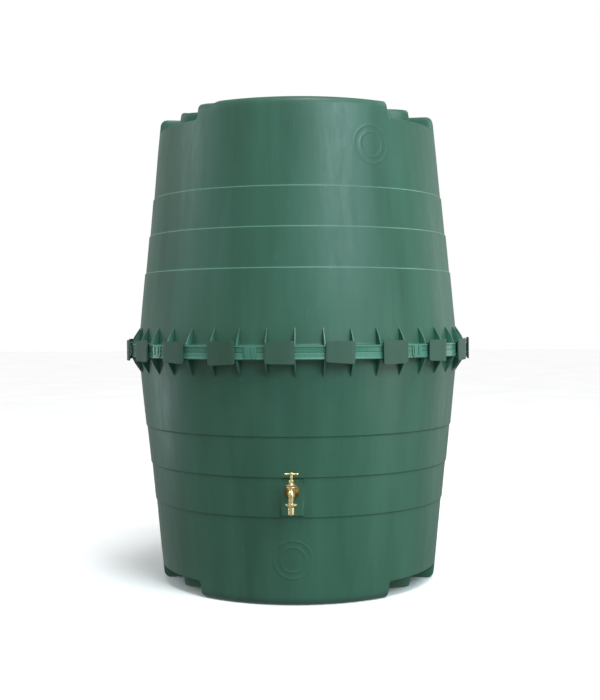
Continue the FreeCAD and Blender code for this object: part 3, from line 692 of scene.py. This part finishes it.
def gusset(azimuth, side):
    """Triangular stiffener from the wall to the flange."""
    outline = [(wall_radius(76) - 3, 76.0, 2.2), (wall_radius(76) + 0.4, 76.0, 2.2),
               (wall_radius(73) + 2.2, 73.0, 1.9), (573.5, 46.0, 1.8), (584.0, 23.5, 1.8),
               (584.8, 21.0, 1.8), (584.0, 19.0, 1.8), (556.0, 19.0, 2.4)]
    turn = math.radians(azimuth)
    out = np.array([math.sin(turn), -math.cos(turn)])
    along = np.array([math.cos(turn), math.sin(turn)])
    vertices = []
    for hand in (-1, 1):
        for radius, height, half_thickness in outline:
            x, y = out * radius + along * half_thickness * hand
            vertices.append((x, y, SEAM_MM + side * height))
    n = len(outline)
    faces = [tuple(range(n))[::-1], tuple(range(n, 2 * n))]
    faces += [(i, (i + 1) % n, n + (i + 1) % n, n + i) for i in range(n)]
    return np.array(vertices), faces


def tab_bodies(azimuth):
    """Tongue over the seam with two upright ribs and a doubled lower lip."""
    bodies = [plate(azimuth, 21.0, -16.0, 20.0, 583.0, 590.0, 7.0)]
    for shift in (-12.5, 7.5):
        bodies.append(plate(azimuth + math.degrees(shift / 590), 2.6, -11.0, 18.0, 588.5, 592.6,
                            1.5, columns=3))
    bodies.append(plate(azimuth, 17.0, -19.0, -14.5, 584.0, 592.0, 2.0))
    return bodies


GUSSETS = [1.4 + 9 * n for n in range(40)]
TABS = [59.9 + 90 * quarter + hand * 18 for quarter in range(4) for hand in (-1, 1)]

lower = merged([shell_mesh(-1, LOWER_MARK, True)] + [gusset(a, -1) for a in GUSSETS])
mesh_object("lower_shell_moulding", *lower, SHELL, "tank", ["lower_shell"], "shell", 38)
tabs = [body for azimuth in TABS for body in tab_bodies(azimuth)]
upper = merged([shell_mesh(1, UPPER_MARK, False)] + [gusset(a, 1) for a in GUSSETS] + tabs)
mesh_object("upper_shell_moulding", *upper, SHELL, "tank", ["upper_shell"], "shell", 38)

# ---------------------------------------------------------------- clips
# Each clip sits a little differently: turn in degrees, extra height at its right, lift.
CLIP_SKEW = (0.4, -1.9, 1.1, -0.6, 1.6, 0.2, -1.2, 0.8, -0.3, 1.3,
             -0.9, 0.5, -1.5, 1.0, 0.3, -0.7, 1.4, 0.6, -1.3, 1.2)
CLIP_FLARE = (2.5, 3.5, -2.0, 3.0, 0.5, -1.5, 2.5, 1.0, -2.5, 1.5,
              0.5, 2.0, -1.0, 2.5, -2.0, 1.0, 2.0, 2.5, 3.0, -2.5)
CLIP_LIFT = (0.0, 1.6, -1.2, 0.8, -0.5, 1.0, -0.8, 0.4, 1.2, -1.0,
             0.6, -0.4, 0.9, -1.3, 0.2, 1.1, -0.6, 0.7, 0.0, -0.9)
for number, (skew, flare, lift) in enumerate(zip(CLIP_SKEW, CLIP_FLARE, CLIP_LIFT)):
    azimuth = -3.1 + 18 * number
    bodies = [plate(azimuth, 46.0, -35.5 + lift, 35.5 + lift, 595.4, 599.8, 4.0, skew, flare),
              plate(azimuth, 42.0, 22.4, 26.4, 570.5, 597.0, 1.2),
              plate(azimuth, 42.0, -26.4, -22.4, 570.5, 597.0, 1.2)]
    name = f"clip_{number + 1:02d}"
    piece = mesh_object(name + "_moulding", *merged(bodies), CLIP, "tank", [name], "clip")
    bevelled(piece, 0.9)

# ---------------------------------------------------------------- lid
LID_UNDER, LID_TOP = SEAM_MM + 776.0, SEAM_MM + 781.0
GRIP_LENGTH, GRIP_WIDTH, GRIP_HEIGHT = 150, 26, 14


def scalloped(turn, reach, height):
    """Finger scallops round the rim."""
    wave = np.clip((np.cos(18 * turn) - 0.45) / 0.55, 0, 1)
    deep = np.clip((reach - 222) / 10, 0, 1)
    return reach - 4.6 * wave ** 1.5 * deep


def lid_grip():
    """Bar across the lid with its upper edges tapered and rounded."""
    build = bmesh.new()
    bmesh.ops.create_cube(build, size=1.0)
    for vertex in build.verts:
        vertex.co = (vertex.co.x * GRIP_LENGTH, vertex.co.y * GRIP_WIDTH,
                     LID_TOP - 1 + (vertex.co.z + 0.5) * GRIP_HEIGHT)
        if vertex.co.z > LID_TOP:
            vertex.co.x *= 0.965
            vertex.co.y *= 0.80
    edges = [e for e in build.edges if max(v.co.z for v in e.verts) > LID_TOP]
    bmesh.ops.bevel(build, geom=edges, offset=4.0, segments=5, affect="EDGES", profile=0.5)
    build.verts.ensure_lookup_table()
    grip = (np.array([v.co[:] for v in build.verts]),
            [tuple(v.index for v in f.verts) for f in build.faces])
    build.free()
    return grip


cap = [(radius, LID_UNDER + height) for radius, height in (
    (1, 0), (120, 0), (224, 0), (226.6, -2), (227, -5), (227, -20), (227.6, -22), (231.2, -22),
    (232, -21), (232, -10))]
cap += [(radius, LID_TOP + height) for radius, height in (
    (232, -4), (231.2, -1.4), (229, -0.2), (226, 0.2), (215, 0.7), (200, 0.9), (197, 0.5),
    (194, 0.5), (191, 1.2), (150, 2.6), (113, 4), (109, 3.8), (104, 3), (94, 0.6), (90, 0.1),
    (60, 0), (1, 0))]
lid = merged([turned(cap, 360, scalloped), lid_grip()])
mesh_object("lid_moulding", *lid, LID, "lid", ["lid"], "lid", 40)


# ---------------------------------------------------------------- tap
def hexagonal(flats):
    """Reshape a turned body to six flats, leaving what lies inside them round."""
    def shape(turn, reach, height):
        step = math.pi / 3
        off = (turn + step / 2) % step - step / 2
        return np.minimum(reach, flats / 2 / np.cos(off))
    return shape


def at_valve(body):
    return moved(body, (0, VALVE_Y / MM, TAP_LEVEL / MM))


def at_spout(body):
    return moved(body, (0, SPOUT_Y / MM, TAP_LEVEL / MM))


def towards_tank(body):
    """A body turned about Z, laid along Y."""
    return rotated(body, "X", -90)


chamber = turned([(0.5, -15), (8.5, -14.6), (10.6, -12.5), (11.6, -4), (12.4, 6), (13.9, 14),
                  (15.2, 16.6), (16.3, 17.6), (16.5, 19), (16.3, 20.6), (15.4, 21), (0.5, 21)],
                 64)
inlet = towards_tank(turned([(0.5, 0), (11, 0), (11, 30), (12.4, 34.5), (15.0, 37.8),
                             (15.2, 39), (0.5, 39)], 64))
spout_path = [(0, 0, 9), (0, -4, 9.2), (0, -8, 9)]
spout_path += [(0, -8 - 14 * math.sin(math.radians(a)), -5 + 14 * math.cos(math.radians(a)))
               for a in (15, 30, 45, 60, 75, 90)]
spout_path += [(0, -22, -12), (0, -22, -20), (0, -22, -28), (0, -22, -33.4)]
spout = swept(spout_path, [9.6, 9.3, 9.0, 8.8, 8.6, 8.4, 8.2, 8.1, 8.0, 7.8, 7.7, 7.6, 7.6])
casting = mesh_object("tap_casting", *at_valve(merged([chamber, inlet, spout])), BRASS, "tank",
                      ["tap_body"], "brass")
blended(casting, 0.5, 7)
valve_room = turned([(0.5, -9), (5.5, -9), (5.5, 3), (10, 3), (10, 14.5), (12.1, 14.5),
                     (12.1, 23), (0.5, 23)], 64)
carved(casting, *at_valve(valve_room))

THREAD_PITCH, THREAD_TURNS, THREAD_START = 1.6, 18, 39.2
thread = [(8.0, 39)]
for number in range(THREAD_TURNS):
    start = THREAD_START + number * THREAD_PITCH
    thread += [(12.2, start), (13.1, start + 0.6), (13.1, start + 0.9), (12.2, start + 1.5)]
thread += [(12.0, 70.9), (8.0, 71.2)]
mesh_object("tap_thread", *at_valve(towards_tank(turned(thread, 48))), BRIGHT, "tank", (),
            "brass", 30)
collar = [(8, -33.4), (12.9, -33.4), (13.0, -32.6), (13.0, -29.2), (12.4, -28.5), (7.8, -28.2)]
mesh_object("spout_thread_collar", *at_spout(turned(collar, 48)), BRIGHT, "tank", (), "brass", 30)

bonnet = [(0.5, 16), (11.9, 16), (11.9, 22.0), (13.4, 22.1), (15.6, 22.8), (16.2, 23.6),
          (16.2, 25.3), (15.2, 26.2), (13.6, 26.8), (12.8, 27.6), (11.2, 29.2), (9.4, 31.0),
          (8.2, 32.0), (7.1, 32.3), (6.9, 32.6), (6.9, 36), (0.5, 36)]
mesh_object("bonnet_casting", *at_valve(turned(bonnet, 96, hexagonal(28.6))), BRASS, "tank",
            ["bonnet"], "brass", 30)
gland = [(4.6, 32.5), (7.4, 32.2), (8.4, 32.9), (8.6, 33.6), (8.6, 38.2), (8.0, 39.6),
         (7.2, 40.7), (6.3, 41), (4.6, 41)]
mesh_object("gland_nut_turned", *at_valve(turned(gland, 96, hexagonal(15))), BRIGHT, "tank",
            ["gland_nut"], "brass", 24)
spindle = [(0.5, 9), (5.9, 9), (5.9, 20.6), (4.0, 21.8), (4.0, 40), (4.1, 41.5), (4.1, 53.5),
           (3.9, 55.2), (2.6, 55.4), (2.6, 62.4), (0.5, 62.4)]
mesh_object("spindle_turned", *at_valve(turned(spindle, 48)), BRIGHT, "handle", ["spindle"],
            "brass", 30)

half_bar = [(3.6, 3.5), (2.95, 7), (3.05, 12), (3.4, 17.5), (3.35, 19.4), (3.0, 21.0),
            (2.2, 21.8), (0.4, 22)]
bar = [(radius, -along) for radius, along in reversed(half_bar)] + half_bar
bar = moved(rotated(turned(bar, 40), "Y", 90), (0, 0, 59))
hub = turned([(0.4, 54.6), (4.2, 54.6), (5.0, 55.4), (5.3, 57), (5.4, 59), (5.3, 61),
              (4.7, 62.4), (0.4, 62.6)], 48)
handle = mesh_object("t_handle_casting", *at_valve(merged([bar, hub])), BRASS, "handle",
                     ["t_handle"], "brass")
blended(handle, 0.32, 5)
screw = [(0.4, 62.0), (3.3, 62.0), (3.5, 62.7), (3.3, 63.4), (2.6, 64.1), (1.4, 64.5),
         (0.4, 64.55)]
mesh_object("handle_screw_dome", *at_valve(turned(screw, 40)), BRIGHT, "handle",
            ["handle_screw"], "brass")

RING = (False, False)
rosette = [(11.5, 39), (16.0, 39), (17.2, 39.3), (20.6, 40.6), (21.7, 41.5), (22, 42.3),
           (21.9, 42.9), (11.5, 43)]
# Its dark brass colour is painted shade.
mesh_object("rosette_pressing", *at_valve(towards_tank(turned(rosette, 72, poles=RING))),
            ROSETTE_SHADE_BRASS, "tank", ["rosette"], "brass")
backnut = [(13.3, 65.7), (16.6, 65.6), (18.6, 66.6), (19.6, 68), (19.6, 72), (18.6, 73.6),
           (16.6, 74.5), (13.3, 74.4)]
mesh_object("backnut_turned",
            *at_valve(towards_tank(turned(backnut, 72, hexagonal(34), RING))), BRIGHT, "tank",
            ["backnut"], "brass", 24)


def fluted(turn, reach, height):
    """Shallow grip flutes round the band of the union nut."""
    band = np.clip((reach - 17.5) / 1.5, 0, 1)
    return reach - 0.55 * band * (0.5 + 0.5 * np.cos(20 * turn))


nut = [(10.6, -38.8), (12.2, -39.5), (12.9, -39.2), (14.6, -37.4), (17.2, -34.9),
       (18.9, -33.4), (19.4, -32.5), (19.5, -31.6), (19.5, -29.4), (19.2, -28.5),
       (18.4, -28.05), (15, -28.0), (13.4, -28.05), (13.35, -37.0), (10.6, -37.2)]
mesh_object("union_nut_turned", *at_spout(turned(nut, 160, fluted, RING)), BRIGHT, "tank",
            ["union_nut"], "brass", 30)
tail = [(7.0, -62.6), (7.4, -63), (8.9, -63), (9.4, -62.5), (9.95, -61), (10, -60),
        (9.75, -55.4), (10, -54.9), (10, -53.6), (9.75, -49.4), (10, -48.9), (10, -47.6),
        (9.7, -43.4), (9.6, -40), (9.6, -37.6), (12.6, -37.2), (12.7, -36.6), (12.7, -35.2),
        (7.0, -35.1)]
mesh_object("hose_tail_turned", *at_spout(turned(tail, 64, None, RING)), BRIGHT, "tank",
            ["hose_tail"], "brass", 25)

# ---------------------------------------------------------------- CAD nodes that stay
KEPT = {"flange_seal": RUBBER, "lid_gasket": RUBBER, "outer_washer": RUBBER,
        "inner_washer": RUBBER, "hose_washer": RUBBER, "valve_washer": RUBBER,
        "bonnet_washer": FIBRE, "gland_packing": FIBRE, "jumper_valve": BRASS,
        "washer_nut": BRASS}
for node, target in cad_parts.items():
    target.data.materials.clear()
    target.data.materials.append(KEPT.get(node, SHELL))

# ---------------------------------------------------------------- stage, in metres
FLOOR_HALF = 30.0
SKY_LOW, SKY_HIGH = 0.40, 0.62
WHITE, COOL, KEY_TINT = (1, 1, 1), (0.8, 0.95, 1.0), (0.72, 0.94, 1.0)
MIDDLE = (0, 0, 0.85)


def floor_material():
    material, tree, shader = nodes_of("studio_floor")
    tone = ramp(tree, noise(tree, 1.3, 4.0, 0.5), [(0.3, grey(0.86)), (0.7, grey(0.90))])
    tree.links.new(tone, shader.inputs["Base Color"])
    shader.inputs["Roughness"].default_value = 0.9
    return material


def make_floor():
    """White floor that shows to the camera but lights nothing."""
    mesh = bpy.data.meshes.new("floor")
    mesh.from_pydata([(x * FLOOR_HALF, y * FLOOR_HALF, 0)
                      for x, y in ((-1, -1), (1, -1), (1, 1), (-1, 1))], [], [(0, 1, 2, 3)])
    mesh.materials.append(floor_material())
    floor = placed("floor", mesh)
    floor.visible_diffuse = False
    floor.visible_glossy = False


def area_light(name, azimuth, distance, height, size, power, target=MIDDLE, colour=WHITE):
    light = bpy.data.lights.new(name, "AREA")
    light.shape = "RECTANGLE"
    light.size, light.size_y = size
    light.energy = power
    light.color = colour
    lamp = placed(name, light)
    turn = math.radians(azimuth)
    lamp.location = (distance * math.sin(turn), -distance * math.cos(turn), height)
    aim = Vector(target) - lamp.location
    lamp.rotation_euler = aim.to_track_quat("-Z", "Y").to_euler()


def overhead(azimuth, elevation, strength, width):
    """Broad soft light from above."""
    light = bpy.data.lights.new("overhead", "SUN")
    light.energy = strength
    light.angle = math.radians(width)
    lamp = placed("overhead", light)
    turn, rise = math.radians(azimuth), math.radians(elevation)
    towards = Vector((math.sin(turn) * math.cos(rise), -math.cos(turn) * math.cos(rise),
                      math.sin(rise)))
    lamp.rotation_euler = towards.to_track_quat("Z", "Y").to_euler()


def make_world():
    """White to the camera; as a light, grey that brightens towards the top."""
    world = bpy.data.worlds.new("studio")
    world.use_nodes = True
    tree = world.node_tree
    background = tree.nodes["Background"]
    background.inputs["Color"].default_value = (1, 1, 1, 1)
    split = tree.nodes.new("ShaderNodeSeparateXYZ")
    where = tree.nodes.new("ShaderNodeTexCoord")
    tree.links.new(where.outputs["Generated"], split.inputs["Vector"])
    glow = map_range(tree, split.outputs["Z"], -0.25, 0.35, SKY_LOW, SKY_HIGH)
    path = tree.nodes.new("ShaderNodeLightPath")
    strength = map_range(tree, path.outputs["Is Camera Ray"], low=glow)
    tree.links.new(strength, background.inputs["Strength"])
    bpy.context.scene.world = world


def make_camera(distance, height, swing, pitch, yaw, roll, lens):
    """Camera on a circle about the tank's axis; swing in degrees, the other angles in radians."""
    swing = math.radians(swing)
    place = Vector((distance * math.sin(swing), -distance * math.cos(swing), height))
    ahead = Vector((-math.sin(swing), math.cos(swing), 0))
    right = Vector((math.cos(swing), math.sin(swing), 0))
    up = Vector((0, 0, 1))
    look = (ahead * math.cos(yaw) + right * math.sin(yaw)).normalized()
    look = (look * math.cos(pitch) + up * math.sin(pitch)).normalized()
    right = look.cross(up).normalized()
    top = right.cross(look)
    side = right * math.cos(roll) - top * math.sin(roll)
    top = side.cross(look)
    data = bpy.data.cameras.new("camera")
    data.lens = lens
    data.sensor_width = 36.0
    camera = placed("camera", data)
    camera.matrix_world = Matrix((
        (side.x, top.x, -look.x, place.x), (side.y, top.y, -look.y, place.y),
        (side.z, top.z, -look.z, place.z), (0, 0, 0, 1)))
    bpy.context.scene.camera = camera


make_floor()
make_world()
area_light("key", 35, 4.2, 3.1, (2.4, 2.0), 150, colour=KEY_TINT)
area_light("right", 122, 4.5, 0.9, (1.4, 2.6), 14)
area_light("right_high", 112, 4.0, 4.4, (2.4, 1.2), 50)
area_light("right_fill", 64, 4.2, 0.5, (2.0, 1.0), 30)
area_light("left", -86, 4.5, 3.2, (2.4, 2.2), 55, colour=COOL)
area_light("left_low", -104, 3.6, 0.35, (0.8, 0.9), 13, (0, 0, 0.5), COOL)
overhead(24, 68, 1.7, 22)
make_camera(distance=4.0, height=0.897, swing=2.3, pitch=-0.0259, yaw=0.0018, roll=0.0055,
            lens=58.0)
bpy.context.scene.view_settings.view_transform = "Standard"
